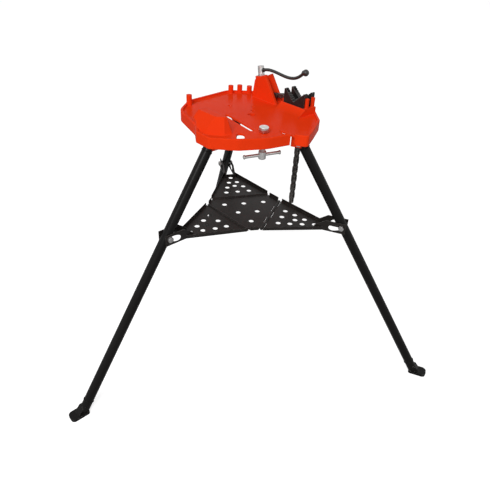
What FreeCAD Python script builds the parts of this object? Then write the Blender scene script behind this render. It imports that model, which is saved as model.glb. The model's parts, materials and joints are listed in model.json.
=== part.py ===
import FreeCAD, Part
import math
import os

# Tripod stand with a chain vise for holding pipe, in millimetres, +Z up.
# The legs are laid out round a plumb axis through the middle of the leg circle.
# The pipe lies along X, with the vise at the +X end and the rear leg at the -X end.
# At the end everything moves so that the origin is on the floor, mid footprint.

V = FreeCAD.Vector

# ---- legs ----
TUBE_OD = 33.7
TUBE_WALL = 3.2
LEG_SLOPE = 33.46                 # degrees from plumb
REAR_AZIMUTH = 180.0
FRONT_AZIMUTH = 62.64             # each front leg, either side of the pipe line
PIVOT_RADIUS = 174.5              # leg circle radius at the pivots
PIVOT_HEIGHT = 864.0
PIVOT_BOLT_R = 6.0
RUNNING_FIT = 0.05
EYE_R = 18.0
NECK_LENGTH = 26.0
PLUG_LENGTH = 55.0
FOOT_RISE = 46.0                  # height at which the tube ends and the foot begins
FOOT_WIDTH = 42.0
FOOT_LENGTH = 48.0
FOOT_THICK = 11.0
HEEL_CORNER = 8.0
TOE_CORNER = 14.0
TOE_FLAT = 26.0                   # bare sole plate in front of the instep
INSTEP_TOP = 33.0
INSTEP_HALF = 13.85
INSTEP_LAP = 8.0
INSTEP_STEP = 1.5                 # instep's upper edge in front of the tube
SPIGOT_LAP = 5.0
FOLD_ANGLE = 27.0
BOLT_TAIL = 8.0                   # bolt end that carries the nut
SEAT_GAP = 0.5                    # between a bolt head or nut and the sheet under it

# ---- base casting ----
PLATE_RISE = 36.0                 # plate top above the leg pivots
PLATE_THICK = 14.0
SKIRT_DEPTH = 36.0
SKIRT_WALL = 8.0
RECESS_DEPTH = 7.0
RIM_WIDTH = 9.0
CHEEK_THICK = 9.0
CHEEK_LENGTH = 46.0
CHEEK_DROP = 14.0                 # below the skirt's lower edge
CHEEK_INSET = 4.0
CHEEK_BEVEL = 22.0
CHEEK_BEVEL_DROP = 9.0
CHEEK_BEVEL_ANGLE = -32.0
STOP_GAP = 3.0                    # from the opened leg to the stop wall
RIM_ROUND = 3.0
SIDE_PLAY = 0.6
BOLT_HEAD_R = 10.0
BOLT_HEAD_H = 7.0
LOBE_OUT = 32.5                   # near lobe's face beyond the leg pivot
LOBE_SIDES = (34.7, -41.8)        # its corners, across the leg
LOBE_CORNERS = (14.0, 12.0)
OBLONG_AT = (-106.0, -64.0)
OBLONG_ALONG = (0.66, 0.75)
OBLONG_HALF = 12.0
OBLONG_R = 13.0
LONG_SLOT_AT = (-28.0, 30.0)
LONG_SLOT_ALONG = (0.155, 0.988)
LONG_SLOT_HALF = 76.0
LONG_SLOT_R = 8.5
TOOL_HOLE_AT = (61.0, 64.0)
TOOL_HOLE_R = 13.5
TOOL_BOSS_R = 21.0
TOOL_BOSS_DROP = 14.0             # sleeve under the tool hole
HOOK_SLOT_X = 29.5                # slot that opens at the near rim
HOOK_SLOT_END = -112.0
HOOK_SLOT_R = 7.5
SMALL_HOLE_R = 7.0
SMALL_HOLES = ((93.0, 93.0), (120.0, 122.0), (-90.0, 160.0), (60.0, 180.0))
POST_R = 10.0
POSTS = ((-58.0, 268.0, 30.0), (163.0, 296.0, 22.0), (196.0, 281.0, 22.0), (224.0, 256.0, 20.0),
         (250.0, 231.0, 16.0))    # x, y, height above the plate

# ---- rear pipe rest ----
REST_RISE = 39.0                  # pipe seat above the plate
REST_BACK = -112.0
REST_FACE = -141.0                # seat's edge towards the rear leg
REST_TOE = -191.0                 # foot of the ramp
REST_FAR = 104.0
REST_INSET = 4.0                  # from the plate's edge
REST_NEAR = -2.0                  # seat's near end
REST_NEAR_FOOT = -34.0
REST_HIP_FACE = -122.0            # the near corner is cut off by a hip
REST_HIP_FOOT = (-146.0, 16.0)    # hip's foot: along the near side, and along the toe

# ---- vise ----
VISE_X = 226.0
JAW_WIDTH = 16.0
JAW_LENGTH = 96.0
JAW_HEIGHT = 48.0
JAW_V_HALF = 41.0
JAW_V_DEPTH = 37.0
TOOTH_PITCH = 6.0
TOOTH_DEPTH = 2.2
SADDLE_HEIGHT = 18.0
CHAIN_GAP = 21.0
SADDLE_MARGIN = 3.0
HORN_THICK = 10.0
HORN_HALF = 20.0
APRON_REACH = 32.0                # slope from the saddle's rear side down to the plate
APRON_DROP = 3.0
NEAR_HORN_HEIGHT = 52.0
FAR_HORN_HEIGHT = 28.0
JAW_SCREW_INSET = 12.0
JAW_SCREW_R = 4.0
JAW_SCREW_HEAD_R = 6.3
JAW_SCREW_HEAD_H = 8.0
JAW_SCREW_SEAT = 12.0
JAW_SCREW_GAP = 0.2
TOOTH_SHARE = 0.75
TOOTH_LEAN = 0.4
SCREW_TILT = 12.0                 # degrees, leaning away from the pipe
SCREW_Y = 187.4                   # boss's lower end
SCREW_BOSS_RISE = 36.5            # the same above the plate
SCREW_R = 8.0
BOSS_R = 23.0
BOSS_LENGTH = 37.0
WEB_THICK = 10.5
WEB_GAP = 0.5
WEB_FOOT = (-100.0, 30.0)         # from the boss, along Y at the plate
WEB_HEAD = (-31.0, 20.0)          # the same at the head
WEB_HEAD_RISE = (49.0, 22.0)      # above the boss's lower end
HUB_R = 12.0
HUB_LENGTH = 33.0
HANDLE_R = 5.6
HANDLE_REACH = 212.0
HANDLE_DROP = 9.0                 # of the far end below the hub's middle
HANDLE_BENDS = ((85.0, 10.0), (150.0, 27.0))    # reach and drop on the way
BALL_R = 11.5
WASHER_THICK = 3.0
WASHER_MARGIN = 2.0
SCREW_SHORT = 1.0                 # screw end below the hub's top face
CLEVIS_DROP = 30.0                # chain pin below the boss; leaves 12 of screw travel
CLEVIS_LENGTH = 24.0
CLEVIS_BELOW = 9.0
CLEVIS_DEPTH = 16.0
CLEVIS_PLAY = 3.0
CLEVIS_SLOT = 7.5
HANDLE_PLUG_R = 4.4
HANDLE_PLUG_GAP = 0.3
HANDLE_STANDOFF = 2.5
BALL_SEAT = 3.0

# ---- chain ----
CHAIN_PITCH = 19.05
PLATE_HALF_HEIGHT = 7.4
LINK_THICK = 2.4
LINK_GAP = 0.3
ROLLER_R = 5.2
ROLLER_HALF = 3.0
CHAIN_PIN_R = 2.7
TAIL_Y = -22.0
CHAIN_BEND = 24.0
CHAIN_BEND_STEPS = 12
CHAIN_LIFT = 0.8                  # links above the saddle
CHAIN_HORN_LIFT = 3.0
CHAIN_HORN_GAP = 12.0
CHAIN_LEVEL_Y = 40.0
CHAIN_RUN_DROP = 34.0              # the run ends this far below the plate top
CHAIN_WALK = 0.25
PIN_RIVET = 0.8
TAIL_LINKS = 18
DROP_HOLE_NEAR = 14.0
DROP_HOLE_FAR = 3.0

# ---- ceiling-brace screw ----
BRACE_X = -23.0
BRACE_Y = -83.0
BRACE_R = 9.0
BRACE_CAP_R = 16.5
BRACE_CAP_HEIGHT = 19.0
BRACE_HUB_R = 13.0
BRACE_HUB_DROP = 69.0             # hub's top below the plate top
BRACE_HUB_LENGTH = 28.0
BRACE_BAR_R = 5.5
BRACE_BAR_LENGTH = 132.0
BRACE_BAR_TURN = -18.0
BRACE_END_R = 7.5
BRACE_END_LENGTH = 6.0
BRACE_END_LAP = 4.0
BRACE_BOSS_R = 19.0
BRACE_BOSS_DROP = 12.0            # below the plate
BRACE_CAP_GAP = 2.0
BRACE_CAP_ROUND = 4.0
BRACE_CAP_BORE = 6.3
BRACE_SCREW_IN_CAP = 6.0

# ---- tray ----
TRAY_BOLT_RISE = 22.0             # leg bolts above the tray
TRAY_SHEET = 2.0
TRAY_FOLD_RADIUS = 95.0
TRAY_FOLD_HALF = 118.0
TRAY_LIP = 13.0
TRAY_BOLT_HEIGHT = 587.0
TRAY_BOLT_R = 5.0
EAR_THICK = 3.0
EAR_PLAY = 1.2
EAR_RISE = 16.0                   # ear above the bolt
EAR_REACH = 16.0                  # ear beyond the bolt
HINGE_PIN_R = 3.0
KNUCKLE_R = 5.6
KNUCKLE_PLAY = 0.6
KNUCKLES = 5
KNUCKLE_INSET = 10.0
FOLD_GAP = 7.0                    # sheet edge to the fold line
TAB_LAP = 2.0
LIP_INSET = 2.0
WEB_CLEAR = 6.0                   # wing sheet end to the leg
SLOT_CLEAR = 1.2
EAR_LAP = 30.0
EAR_SHOULDER = 8.0
HINGE_PIN_INSET = 6.0
TRAY_HOLE_R = 9.0
WING_HOLES = ((43.0, -46.0), (43.0, 0.0), (43.0, 46.0), (83.0, -33.0), (83.0, 33.0), (93.0, 0.0),
              (124.0, -17.0), (124.0, 17.0), (165.0, 0.0))      # from the fold, and across
CENTRE_HOLE_RADIUS = 42.0
CORNER_HOLE_RADIUS = 87.0
FOLD_STEPS = 24

Z = V(0, 0, 1)
slope = math.radians(LEG_SLOPE)
leg_down = V(math.sin(slope), 0, -math.cos(slope))
tube_r = TUBE_OD / 2
PLATE_TOP = PIVOT_HEIGHT + PLATE_RISE
TRAY_TOP = TRAY_BOLT_HEIGHT - TRAY_BOLT_RISE
skirt_bottom = PLATE_TOP - SKIRT_DEPTH
plate_under = PLATE_TOP - PLATE_THICK
nodes = {}

# chain link offsets from the chain's middle plane
inner_x = ROLLER_HALF + LINK_GAP
outer_x = inner_x + LINK_THICK + LINK_GAP
chain_half = outer_x + LINK_THICK + PIN_RIVET


def block(x0, x1, y0, y1, z0, z1):
    return Part.makeBox(x1 - x0, y1 - y0, z1 - z0, V(x0, y0, z0))


def rod(start, direction, radius, length):
    return Part.makeCylinder(radius, length, start, direction)


def fused(shapes):
    whole = shapes[0].multiFuse(shapes[1:]) if len(shapes) > 1 else shapes[0]
    return whole.removeSplitter()


def turned(shape, azimuth):
    copy = shape.copy()
    copy.rotate(V(0, 0, 0), Z, azimuth)
    return copy


def corner_at(corners, index, z):
    x, y, radius = corners[index % len(corners)]
    return V(x, y, z)


def rounded_wire(corners, z):
    """Closed outline through (x, y, corner radius) points, at height z."""
    edges = []
    ends = []
    count = len(corners)
    for i in range(count):
        before, here, after = (corner_at(corners, i + k, z) for k in (-1, 0, 1))
        into = (before - here).normalize()
        out = (after - here).normalize()
        half = into.getAngle(out) / 2
        back = corners[i][2] / math.tan(half)
        start = here + into * back
        finish = here + out * back
        centre = here + (into + out).normalize() * (corners[i][2] / math.sin(half))
        middle = centre + (here - centre).normalize() * corners[i][2]
        ends.append((start, middle, finish))
    for i in range(count):
        start, middle, finish = ends[i]
        edges.append(Part.Arc(start, middle, finish).toShape())
        following = ends[(i + 1) % count][0]
        if (following - finish).Length > 0.01:
            edges.append(Part.LineSegment(finish, following).toShape())
    return Part.Wire(edges)


def slab(corners, z0, z1):
    return Part.Face(rounded_wire(corners, z0)).extrude(V(0, 0, z1 - z0))


def grown(corners, by):
    """The same outline moved outwards (or inwards) by a wall thickness."""
    result = []
    count = len(corners)
    area = sum(corners[i][0] * corners[(i + 1) % count][1] - corners[(i + 1) % count][0] * corners[i][1]
               for i in range(count))
    side = 1 if area > 0 else -1
    for i in range(count):
        before, here, after = (corner_at(corners, i + k, 0) for k in (-1, 0, 1))
        a = (here - before).normalize()
        b = (after - here).normalize()
        na = V(a.y, -a.x, 0) * side
        nb = V(b.y, -b.x, 0) * side
        mitre = (na + nb).normalize()
        reach = by / mitre.dot(na)
        convex = side * (a.x * b.y - a.y * b.x) > 0
        radius = max(corners[i][2] + (by if convex else -by), 1.5)
        result.append((here.x + mitre.x * reach, here.y + mitre.y * reach, radius))
    return result


def stadium(centre, along, half_length, radius, z0, z1):
    """Upright slot or oblong of two round ends joined by straight sides."""
    across = V(-along.y, along.x, 0)
    a = centre + along * half_length
    b = centre - along * half_length
    z = V(0, 0, z0)
    wire = Part.Wire([
        Part.LineSegment(b - across * radius + z, a - across * radius + z).toShape(),
        Part.Arc(a - across * radius + z, a + along * radius + z, a + across * radius + z).toShape(),
        Part.LineSegment(a + across * radius + z, b + across * radius + z).toShape(),
        Part.Arc(b + across * radius + z, b - along * radius + z, b - across * radius + z).toShape()])
    return Part.Face(wire).extrude(V(0, 0, z1 - z0))


# ---- legs: forged head, tube, bent flat foot, tray bolt ----
pivot = V(PIVOT_RADIUS, 0, PIVOT_HEIGHT)
leg_length = (PIVOT_HEIGHT - FOOT_RISE) / math.cos(slope)
bolt_along = (PIVOT_HEIGHT - TRAY_BOLT_HEIGHT) / math.cos(slope)
tray_bolt = pivot + leg_down * bolt_along
bore_r = tube_r - TUBE_WALL
ear_outer = tube_r + EAR_PLAY + EAR_THICK


def leg_head():
    eye = rod(pivot - V(0, tube_r, 0), V(0, 1, 0), EYE_R, TUBE_OD)
    neck = rod(pivot, leg_down, tube_r, NECK_LENGTH)
    plug = rod(pivot, leg_down, bore_r - RUNNING_FIT, NECK_LENGTH + PLUG_LENGTH)
    hole = rod(pivot - V(0, TUBE_OD, 0), V(0, 1, 0), PIVOT_BOLT_R + RUNNING_FIT, 2 * TUBE_OD)
    return fused([eye, neck, plug]).cut(hole)


def leg_tube():
    start = pivot + leg_down * NECK_LENGTH
    length = leg_length - NECK_LENGTH
    tube = rod(start, leg_down, tube_r, length).cut(rod(start, leg_down, bore_r, length))
    cross = rod(tray_bolt - V(0, TUBE_OD, 0), V(0, 1, 0), TRAY_BOLT_R + RUNNING_FIT, 2 * TUBE_OD)
    return tube.cut(cross)


def leg_foot():
    end = pivot + leg_down * leg_length
    spigot = rod(end - leg_down * PLUG_LENGTH, leg_down, bore_r - RUNNING_FIT, PLUG_LENGTH + SPIGOT_LAP)
    ankle = rod(end, leg_down, tube_r, FOOT_RISE / math.cos(slope) + tube_r)
    heel = end.x + FOOT_RISE * math.tan(slope) - tube_r / math.cos(slope)
    half = FOOT_WIDTH / 2
    toe = heel + FOOT_LENGTH + tube_r
    pad = slab([(heel, -half, HEEL_CORNER), (toe, -half, TOE_CORNER),
                (toe, half, TOE_CORNER), (heel, half, HEEL_CORNER)], 0, FOOT_THICK)
    outer_side = end.x + (FOOT_RISE - INSTEP_TOP) * math.tan(slope) + tube_r / math.cos(slope)
    inner_side = outer_side - 2 * tube_r / math.cos(slope)
    low = FOOT_THICK / 2
    front = toe - TOE_FLAT
    profile = [V(heel + INSTEP_LAP / 2, -INSTEP_HALF, low), V(front, -INSTEP_HALF, low),
               V(front, -INSTEP_HALF, FOOT_THICK), V(outer_side + INSTEP_STEP, -INSTEP_HALF, INSTEP_TOP),
               V(inner_side + INSTEP_LAP, -INSTEP_HALF, INSTEP_TOP)]
    instep = Part.Face(Part.makePolygon(profile + profile[:1])).extrude(V(0, 2 * INSTEP_HALF, 0))
    under = block(0, 2 * toe, -FOOT_WIDTH, FOOT_WIDTH, -2 * FOOT_RISE, 0)
    return fused([spigot, ankle, pad, instep]).cut(under)


def leg_bolt():
    half = ear_outer + SEAT_GAP
    shank = rod(tray_bolt - V(0, half + BOLT_TAIL, 0), V(0, 1, 0), TRAY_BOLT_R, 2 * half + BOLT_TAIL)
    head = rod(tray_bolt + V(0, half, 0), V(0, 1, 0), BOLT_HEAD_R, BOLT_HEAD_H)
    return fused([shank, head])


def hex_nut(centre, radius, height, bore):
    points = []
    for k in range(7):
        turn = k * math.pi / 3
        points.append(centre + V(radius * math.cos(turn), 0, radius * math.sin(turn)))
    prism = Part.Face(Part.makePolygon(points)).extrude(V(0, height, 0))
    return prism.cut(rod(centre - V(0, 1, 0), V(0, 1, 0), bore, height + 2))


def leg_bolt_nut():
    nut_face = tray_bolt - V(0, ear_outer + SEAT_GAP + BOLT_HEAD_H, 0)
    return hex_nut(nut_face, BOLT_HEAD_R, BOLT_HEAD_H, TRAY_BOLT_R)


legs = {"rear": REAR_AZIMUTH, "right": -FRONT_AZIMUTH, "left": FRONT_AZIMUTH}
for side, azimuth in legs.items():
    nodes["leg_tube_" + side] = turned(leg_tube(), azimuth)
    nodes["leg_head_" + side] = turned(leg_head(), azimuth)
    nodes["foot_" + side] = turned(leg_foot(), azimuth)
    nodes["tray_bolt_" + side] = turned(leg_bolt(), azimuth)
    nodes["tray_nut_" + side] = turned(leg_bolt_nut(), azimuth)
# the front feet are mirror images of each other
nodes["foot_left"] = nodes["foot_right"].mirror(V(0, 0, 0), V(0, 1, 0))

# ---- leg pivot bolts and nuts, held in the casting's cheeks ----
cheek_inner = tube_r + SIDE_PLAY
cheek_outer = cheek_inner + CHEEK_THICK
pivot_bolts = []
pivot_nuts = []
for azimuth in legs.values():
    shank = rod(pivot - V(0, cheek_outer + BOLT_TAIL, 0), V(0, 1, 0), PIVOT_BOLT_R, 2 * cheek_outer + BOLT_TAIL)
    head = rod(pivot + V(0, cheek_outer, 0), V(0, 1, 0), BOLT_HEAD_R, BOLT_HEAD_H)
    pivot_bolts.append(turned(fused([shank, head]), azimuth))
    nut = hex_nut(pivot - V(0, cheek_outer + BOLT_HEAD_H, 0), BOLT_HEAD_R, BOLT_HEAD_H, PIVOT_BOLT_R)
    pivot_nuts.append(turned(nut, azimuth))
nodes["leg_pivot_bolts"] = Part.makeCompound(pivot_bolts)
nodes["leg_pivot_nuts"] = Part.makeCompound(pivot_nuts)

# ---- base casting ----
wall_outer = PIVOT_RADIUS + tube_r / math.cos(slope) + STOP_GAP + SKIRT_WALL
near_leg = math.radians(-FRONT_AZIMUTH)
lobe = []
for across, corner in zip(LOBE_SIDES, LOBE_CORNERS):
    out = PIVOT_RADIUS + LOBE_OUT
    lobe.append((out * math.cos(near_leg) - across * math.sin(near_leg),
                 out * math.sin(near_leg) + across * math.cos(near_leg), corner))
# x, y and corner radius round the plate
outline = [(-wall_outer, -30, 14), (-wall_outer, 34, 14), (-172, 84, 60), (-128, 232, 90), (-40, 300, 80),
           (165, 318, 60), (275, 225, 55), (283, -30, 45), (205, -124, 34)] + lobe
outline += [(24, -158, 24), (-58, -139, 110), (-140, -96, 45)]


def leg_bracket():
    """Two cheeks and the outer stop wall that a leg's head sits between."""
    inner = PIVOT_RADIUS - CHEEK_LENGTH / 2 - CHEEK_INSET
    foot = skirt_bottom - CHEEK_DROP
    cheeks = []
    for sign in (-1, 1):
        near, far = sorted((sign * cheek_inner, sign * cheek_outer))
        cheek = block(inner, wall_outer - 1, near, far, foot, plate_under + 1)
        bevel = block(wall_outer - CHEEK_BEVEL, wall_outer + 5, near - 1, far + 1,
                      foot - CHEEK_DROP, foot + CHEEK_BEVEL_DROP)
        bevel.rotate(V(wall_outer - CHEEK_BEVEL, 0, foot), V(0, 1, 0), CHEEK_BEVEL_ANGLE)
        cheeks.append(cheek.cut(bevel))
    wall = block(wall_outer - SKIRT_WALL, wall_outer - 1, -cheek_outer, cheek_outer,
                 skirt_bottom, plate_under + 1)
    hole = rod(pivot - V(0, 2 * TUBE_OD, 0), V(0, 1, 0), PIVOT_BOLT_R + RUNNING_FIT, 4 * TUBE_OD)
    return fused(cheeks + [wall]).cut(hole)


plate = slab(outline, skirt_bottom, PLATE_TOP)
hollow = slab(grown(outline, -SKIRT_WALL), skirt_bottom - 1, plate_under)
plate = plate.cut(hollow)
rim_edges = [e for e in plate.Edges if e.BoundBox.ZMin > PLATE_TOP - 0.01]
plate = plate.makeFillet(RIM_ROUND, rim_edges)
recess = slab(grown(outline, -RIM_WIDTH), PLATE_TOP - RECESS_DEPTH, PLATE_TOP + 1)
plate = plate.cut(recess)
floor_top = PLATE_TOP - RECESS_DEPTH

# rear pipe rest: a hipped ramp that rises towards the vise, with a level seat under the pipe
rest_low = floor_top - 1
rest_top = PLATE_TOP + REST_RISE
hip_run = (REST_HIP_FACE - REST_FACE) * (REST_HIP_FOOT[1] - REST_NEAR_FOOT) / (REST_HIP_FOOT[0] - REST_TOE)
rest_foot = [V(REST_BACK, REST_NEAR_FOOT, rest_low), V(REST_HIP_FOOT[0], REST_NEAR_FOOT, rest_low),
             V(REST_TOE, REST_HIP_FOOT[1], rest_low), V(REST_TOE, REST_FAR, rest_low),
             V(REST_BACK, REST_FAR, rest_low)]
rest_seat = [V(REST_BACK, REST_NEAR, rest_top), V(REST_HIP_FACE, REST_NEAR, rest_top),
             V(REST_FACE, REST_NEAR + hip_run, rest_top), V(REST_FACE, REST_FAR, rest_top),
             V(REST_BACK, REST_FAR, rest_top)]
rest_rings = [Part.makePolygon(ring + ring[:1]) for ring in (rest_foot, rest_seat)]
rest = Part.makeLoft(rest_rings, True, True)
rest = rest.common(slab(grown(outline, -REST_INSET), rest_low - 1, rest_top + 1))

# vise saddle and its two horns
saddle_top = PLATE_TOP + SADDLE_HEIGHT
saddle_half = CHAIN_GAP / 2 + JAW_WIDTH + SADDLE_MARGIN
horn_end = JAW_LENGTH / 2 + HORN_THICK
saddle = block(VISE_X - saddle_half, VISE_X + saddle_half, -horn_end, horn_end, floor_top - 1, saddle_top)
chain_way = block(VISE_X - CHAIN_GAP / 2, VISE_X + CHAIN_GAP / 2, -2 * horn_end, 2 * horn_end,
                  saddle_top, saddle_top + NEAR_HORN_HEIGHT)
near_horn = block(VISE_X - HORN_HALF, VISE_X + HORN_HALF, -horn_end, -JAW_LENGTH / 2,
                  floor_top, PLATE_TOP + NEAR_HORN_HEIGHT).cut(chain_way)
far_horn = block(VISE_X - HORN_HALF, VISE_X + HORN_HALF, JAW_LENGTH / 2, horn_end,
                 floor_top, PLATE_TOP + FAR_HORN_HEIGHT).cut(chain_way)
apron_points = [V(VISE_X - saddle_half + 1, -horn_end, rest_low),
                V(VISE_X - saddle_half + 1, -horn_end, saddle_top - APRON_DROP),
                V(VISE_X - saddle_half, -horn_end, saddle_top - APRON_DROP),
                V(VISE_X - saddle_half - APRON_REACH, -horn_end, rest_low)]
apron = Part.Face(Part.makePolygon(apron_points + apron_points[:1])).extrude(V(0, 2 * horn_end, 0))

# tilted boss for the chain screw, carried on two webs
tilt = math.radians(SCREW_TILT)
screw_up = V(0, math.sin(tilt), math.cos(tilt))
boss_low = V(VISE_X, SCREW_Y, PLATE_TOP + SCREW_BOSS_RISE)
boss_top = boss_low + screw_up * BOSS_LENGTH
boss = rod(boss_low, screw_up, BOSS_R, BOSS_LENGTH)
webs = []
for sign in (-1, 1):
    inside = CHAIN_GAP / 2 + WEB_GAP
    near = VISE_X + min(sign * inside, sign * (inside + WEB_THICK))
    corners = [V(near, SCREW_Y + WEB_FOOT[0], rest_low), V(near, SCREW_Y + WEB_FOOT[1], rest_low),
               V(near, SCREW_Y + WEB_HEAD[1], boss_low.z + WEB_HEAD_RISE[1]),
               V(near, SCREW_Y + WEB_HEAD[0], boss_low.z + WEB_HEAD_RISE[0])]
    webs.append(Part.Face(Part.makePolygon(corners + corners[:1])).extrude(V(WEB_THICK, 0, 0)))

# upright posts along the far rim, for bending pipe between them
posts = []
for x, y, top in POSTS:
    posts.append(rod(V(x, y, rest_low), Z, POST_R, top + PLATE_TOP - rest_low))

brackets = [turned(leg_bracket(), azimuth) for azimuth in legs.values()]
brace_boss = rod(V(BRACE_X, BRACE_Y, plate_under - BRACE_BOSS_DROP), Z, BRACE_BOSS_R, BRACE_BOSS_DROP + 1)
tool_boss = rod(V(*TOOL_HOLE_AT, plate_under - TOOL_BOSS_DROP), Z, TOOL_BOSS_R, TOOL_BOSS_DROP + 1)
base = fused([plate, rest, saddle, apron, near_horn, far_horn, boss] + webs + posts + brackets
             + [brace_boss, tool_boss])

# holes and slots, cut from below the skirt to above the saddle
cut_low = skirt_bottom - SADDLE_HEIGHT
cut_top = saddle_top + SADDLE_HEIGHT
cut_height = cut_top - cut_low
base = base.cut(rod(boss_low - screw_up * BOSS_LENGTH, screw_up, SCREW_R + RUNNING_FIT, 3 * BOSS_LENGTH))
base = base.cut(rod(V(BRACE_X, BRACE_Y, cut_low), Z, BRACE_R + RUNNING_FIT, cut_height))
base = base.cut(block(VISE_X - CHAIN_GAP / 2, VISE_X + CHAIN_GAP / 2, TAIL_Y - DROP_HOLE_NEAR,
                      TAIL_Y + CHAIN_BEND + DROP_HOLE_FAR, cut_low, cut_top))
for at, direction, half, radius in ((OBLONG_AT, OBLONG_ALONG, OBLONG_HALF, OBLONG_R),
                                    (LONG_SLOT_AT, LONG_SLOT_ALONG, LONG_SLOT_HALF, LONG_SLOT_R)):
    along = V(*direction, 0).normalize()
    base = base.cut(stadium(V(*at, 0), along, half, radius, cut_low, cut_top))
base = base.cut(rod(V(*TOOL_HOLE_AT, cut_low), Z, TOOL_HOLE_R, cut_height))
base = base.cut(fused([
    block(HOOK_SLOT_X - HOOK_SLOT_R, HOOK_SLOT_X + HOOK_SLOT_R, -wall_outer, HOOK_SLOT_END, cut_low, cut_top),
    rod(V(HOOK_SLOT_X, HOOK_SLOT_END, cut_low), Z, HOOK_SLOT_R, cut_height)]))
for x, y in SMALL_HOLES:
    base = base.cut(rod(V(x, y, cut_low), Z, SMALL_HOLE_R, cut_height))
nodes["vise_base"] = base


# ---- jaws ----
def jaw(x0):
    half = JAW_LENGTH / 2
    top = saddle_top + JAW_HEIGHT
    steps = int(JAW_V_HALF / TOOTH_PITCH)
    right = []
    for k in range(steps):
        t0 = k / steps
        t1 = (k + TOOTH_SHARE) / steps
        right.append(V(x0, JAW_V_HALF * t0, top - JAW_V_DEPTH * (1 - t0)))
        right.append(V(x0, JAW_V_HALF * t1 + TOOTH_DEPTH * TOOTH_LEAN,
                       top - JAW_V_DEPTH * (1 - t1) - TOOTH_DEPTH))
    left = [V(p.x, -p.y, p.z) for p in right[1:]]
    points = [V(x0, half, saddle_top), V(x0, half, top), V(x0, JAW_V_HALF, top)] + right[::-1]
    points += left + [V(x0, -JAW_V_HALF, top), V(x0, -half, top), V(x0, -half, saddle_top)]
    points.append(points[0])
    body = Part.Face(Part.makePolygon(points)).extrude(V(JAW_WIDTH, 0, 0))
    for y in (-half + JAW_SCREW_INSET, half - JAW_SCREW_INSET):
        foot = V(x0 + JAW_WIDTH / 2, y, saddle_top - 1)
        body = body.cut(rod(foot, Z, JAW_SCREW_R + RUNNING_FIT, 2 * JAW_HEIGHT))
        body = body.cut(rod(foot + Z * (JAW_SCREW_SEAT + 1), Z, JAW_SCREW_HEAD_R + JAW_SCREW_GAP, JAW_HEIGHT))
    return body


jaw_starts = (VISE_X - CHAIN_GAP / 2 - JAW_WIDTH, VISE_X + CHAIN_GAP / 2)
nodes["jaw_rear"] = jaw(jaw_starts[0])
nodes["jaw_front"] = jaw(jaw_starts[1])
jaw_screws = []
for x0 in jaw_starts:
    for y in (-JAW_LENGTH / 2 + JAW_SCREW_INSET, JAW_LENGTH / 2 - JAW_SCREW_INSET):
        foot = V(x0 + JAW_WIDTH / 2, y, saddle_top)
        shank = rod(foot, Z, JAW_SCREW_R, JAW_SCREW_SEAT + 0.5)
        head = rod(foot + Z * JAW_SCREW_SEAT, Z, JAW_SCREW_HEAD_R, JAW_SCREW_HEAD_H)
        jaw_screws.append(fused([shank, head]))
nodes["jaw_screws"] = Part.makeCompound(jaw_screws)

# ---- chain screw, washer, hub and handle ----
hub_low = boss_top + screw_up * WASHER_THICK
hub_mid = hub_low + screw_up * (HUB_LENGTH / 2)
clevis_pin = boss_low - screw_up * CLEVIS_DROP
screw_way = rod(boss_low, screw_up, SCREW_R + RUNNING_FIT, 3 * BOSS_LENGTH)
nodes["screw_washer"] = rod(boss_top, screw_up, HUB_R + WASHER_MARGIN, WASHER_THICK).cut(screw_way)
shaft_foot = (CLEVIS_LENGTH - CLEVIS_BELOW + CLEVIS_SLOT) / 2
screw_shaft = rod(clevis_pin + screw_up * shaft_foot, screw_up, SCREW_R,
                  CLEVIS_DROP - shaft_foot + BOSS_LENGTH + WASHER_THICK + HUB_LENGTH - SCREW_SHORT)
clevis_width = CHAIN_GAP - CLEVIS_PLAY
fork = Part.makeBox(clevis_width, CLEVIS_DEPTH, CLEVIS_LENGTH,
                    V(-clevis_width / 2, -CLEVIS_DEPTH / 2, -CLEVIS_BELOW))
fork = fork.cut(Part.makeBox(2 * outer_x, 2 * CLEVIS_DEPTH, CLEVIS_BELOW + CLEVIS_SLOT + 1,
                             V(-outer_x, -CLEVIS_DEPTH, -CLEVIS_BELOW - 1)))
fork.rotate(V(0, 0, 0), V(1, 0, 0), -SCREW_TILT)
fork.translate(clevis_pin)
fork = fork.cut(rod(clevis_pin - V(clevis_width, 0, 0), V(1, 0, 0),
                    CHAIN_PIN_R + RUNNING_FIT, 2 * clevis_width))
nodes["chain_screw"] = fused([screw_shaft, fork])
hub = rod(hub_low, screw_up, HUB_R, HUB_LENGTH).cut(screw_way)
inward = V(0, -math.cos(tilt), math.sin(tilt))
socket_start = hub_mid + inward * (SCREW_R + WEB_GAP)
hub = hub.cut(rod(socket_start, inward, HANDLE_PLUG_R + RUNNING_FIT, 2 * HUB_R))
nodes["screw_hub"] = hub
handle_end = hub_mid + inward * HANDLE_REACH - screw_up * HANDLE_DROP
handle_start = hub_mid + inward * (HUB_R + HANDLE_STANDOFF)
bends = [hub_mid + inward * reach - screw_up * drop for reach, drop in HANDLE_BENDS]
curve = Part.BSplineCurve()
curve.interpolate([handle_start] + bends + [handle_end])
spine = curve.toShape()
section = Part.Wire([Part.makeCircle(HANDLE_R, handle_start, spine.tangentAt(spine.FirstParameter))])
arm = Part.Wire([spine]).makePipeShell([section], True, False)
stub_length = HUB_R - SCREW_R + 2 * HANDLE_STANDOFF
stub = rod(socket_start + inward * HANDLE_PLUG_GAP, inward, HANDLE_PLUG_R, stub_length)
nodes["handle_arm"] = fused([arm, stub])
ball = Part.makeSphere(BALL_R, handle_end + inward * (BALL_R - BALL_SEAT))
nodes["handle_ball"] = ball.cut(nodes["handle_arm"])

# ---- chain: side plates, and pins with rollers ----


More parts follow.
